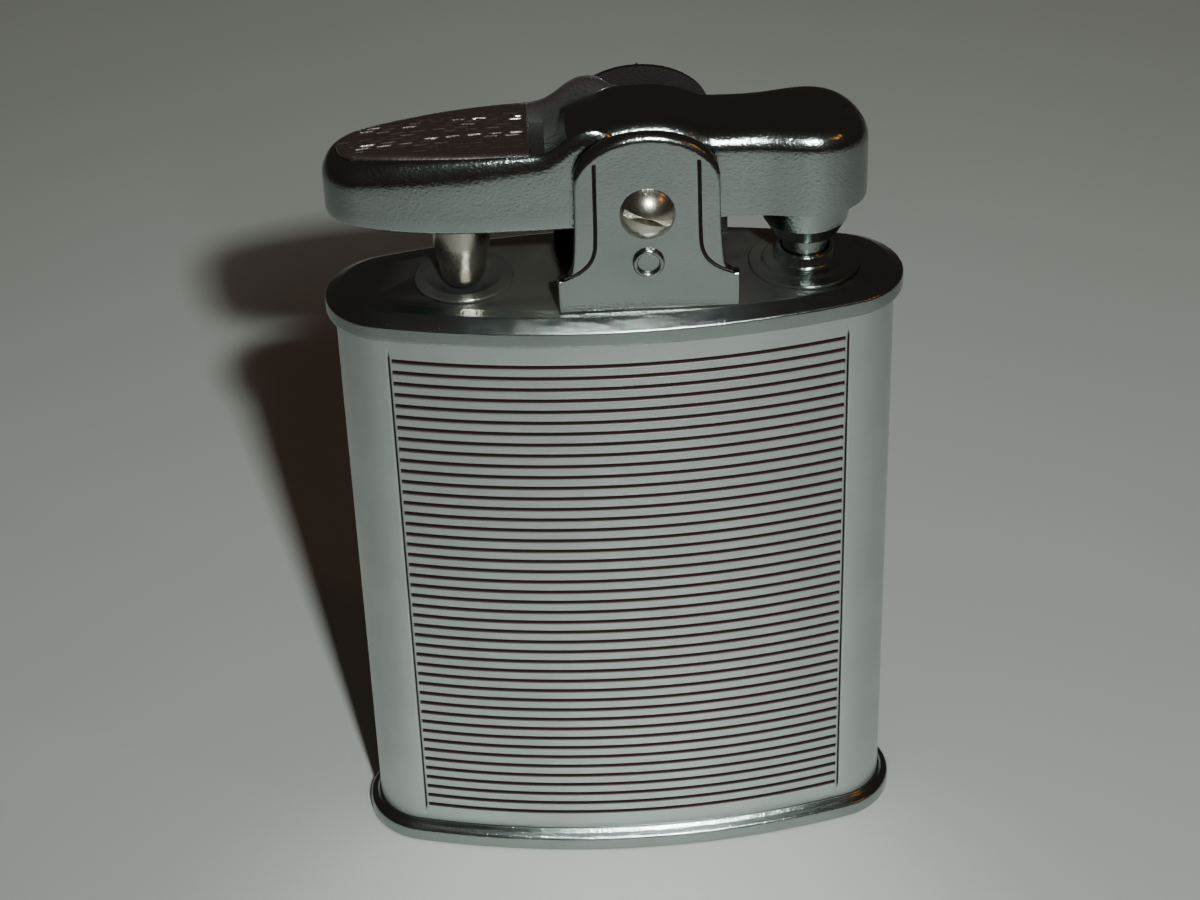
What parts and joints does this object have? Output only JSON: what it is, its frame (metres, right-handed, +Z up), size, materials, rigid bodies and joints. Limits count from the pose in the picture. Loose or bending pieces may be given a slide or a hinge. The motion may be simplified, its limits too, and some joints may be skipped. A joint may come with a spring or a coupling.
{
  "type": "pocket lighter",
  "caption": "Slim oval pocket petrol lighter: pressing the thumb lever lifts the snuffer off the wick and turns the flint wheel in one stroke.",
  "frame": {"origin": "middle of the base flange, on its flat underside", "axes": "+Z up, +X to the snuffer end, -Y is the front face"},
  "size_m": [0.0384, 0.0134, 0.0577],
  "materials": {
    "bright_chrome": "bright polished chrome plate with light wear",
    "ribbed_chrome": "chrome plate cut with fine horizontal engine-turned lines, satin from a distance",
    "satin_nickel": "satin nickel plate, warmer than the chrome",
    "textured_plate": "dark textured thumb plate with fine cut strokes",
    "steel": "plain machined steel",
    "wheel_steel": "hardened dark steel with cut teeth",
    "brass": "turned brass",
    "fibre": "oiled red fibre",
    "cotton": "loose cotton",
    "flint": "dull ferrocerium"
  },
  "bodies": {
    "case": {"case_sleeve": "ribbed_chrome", "base_cap": "bright_chrome", "top_cover": "bright_chrome", "fuel_tank": "steel", "cotton_wadding": "cotton", "wick": "cotton", "wick_tube": "bright_chrome", "wick_collar": "bright_chrome", "spring_socket": "bright_chrome", "flint_tube": "brass", "flint_spring": "steel", "bridge_frame": "steel", "front_bridge_plate": "bright_chrome", "rear_bridge_plate": "bright_chrome", "front_pivot_rivet": "bright_chrome", "rear_pivot_rivet": "bright_chrome", "pivot_axle": "steel", "front_axle_screw": "satin_nickel", "rear_axle_screw": "satin_nickel"},
    "lever": {"thumb_lever": "bright_chrome", "thumb_insert": "textured_plate", "spring_guide": "steel"},
    "plunger": {"spring_plunger": "satin_nickel", "return_spring": "steel"},
    "snuffer": {"snuffer_arm": "bright_chrome", "snuffer_cap": "bright_chrome", "snuffer_seal": "fibre", "front_pinion": "steel", "rear_pinion": "steel", "pawl_pin": "steel", "pawl_spring": "steel"},
    "pawl": {"drive_pawl": "steel"},
    "wheel": {"spark_wheel": "wheel_steel", "ratchet_wheel": "steel"},
    "flint_feed": {"flint": "flint", "flint_follower": "brass"},
    "flint_plug": {"flint_screw": "brass"},
    "filler_plug": {"filler_screw": "brass", "filler_washer": "fibre"}
  },
  "joints": [
    {"name": "thumb_lever_hinge", "type": "hinge", "parent": "case", "child": "lever", "pos_m": [0.002, 0, 0.0486], "axis": [0, -1, 0], "range_deg": [0, 12], "stiffness_Nm_per_rad": 0.3, "springref_deg": -14.32, "deforming": ["return_spring"]},
    {"name": "snuffer_hinge", "type": "hinge", "parent": "case", "child": "snuffer", "pos_m": [0.002, 0, 0.0521], "axis": [0, -1, 0], "range_deg": [0, 38]},
    {"name": "spark_wheel_hinge", "type": "hinge", "parent": "case", "child": "wheel", "pos_m": [0.002, 0, 0.0521], "axis": [0, -1, 0], "range_deg": [0, 38]},
    {"name": "plunger_hinge", "type": "hinge", "parent": "case", "child": "plunger", "pos_m": [-0.00985, 0, 0.0456], "axis": [0, -1, 0], "range_deg": [0, 8]},
    {"name": "pawl_hinge", "type": "hinge", "parent": "snuffer", "child": "pawl", "pos_m": [0.00412, 0.0015, 0.05513], "axis": [0, 1, 0], "range_deg": [0, 11], "stiffness_Nm_per_rad": 0.002, "springref_deg": -8.59},
    {"name": "flint_slide", "type": "slide", "parent": "case", "child": "flint_feed", "axis": [0, 0, -1], "range_m": [0, 0.003], "stiffness_N_per_m": 150, "springref_m": -0.015, "deforming": ["flint_spring"]},
    {"name": "flint_screw_turn", "type": "hinge", "parent": "case", "child": "flint_plug", "pos_m": [0.002, 0, 0.001], "axis": [0, 0, 1], "continuous": true},
    {"name": "filler_screw_turn", "type": "hinge", "parent": "case", "child": "filler_plug", "pos_m": [-0.009, 0, 0.001], "axis": [0, 0, 1], "continuous": true}
  ],
  "couplings": [
    {"joint": "snuffer_hinge", "follows": "thumb_lever_hinge", "ratio": 3},
    {"joint": "spark_wheel_hinge", "follows": "thumb_lever_hinge", "ratio": 3},
    {"joint": "plunger_hinge", "follows": "thumb_lever_hinge", "ratio": 0.6}
  ]
}
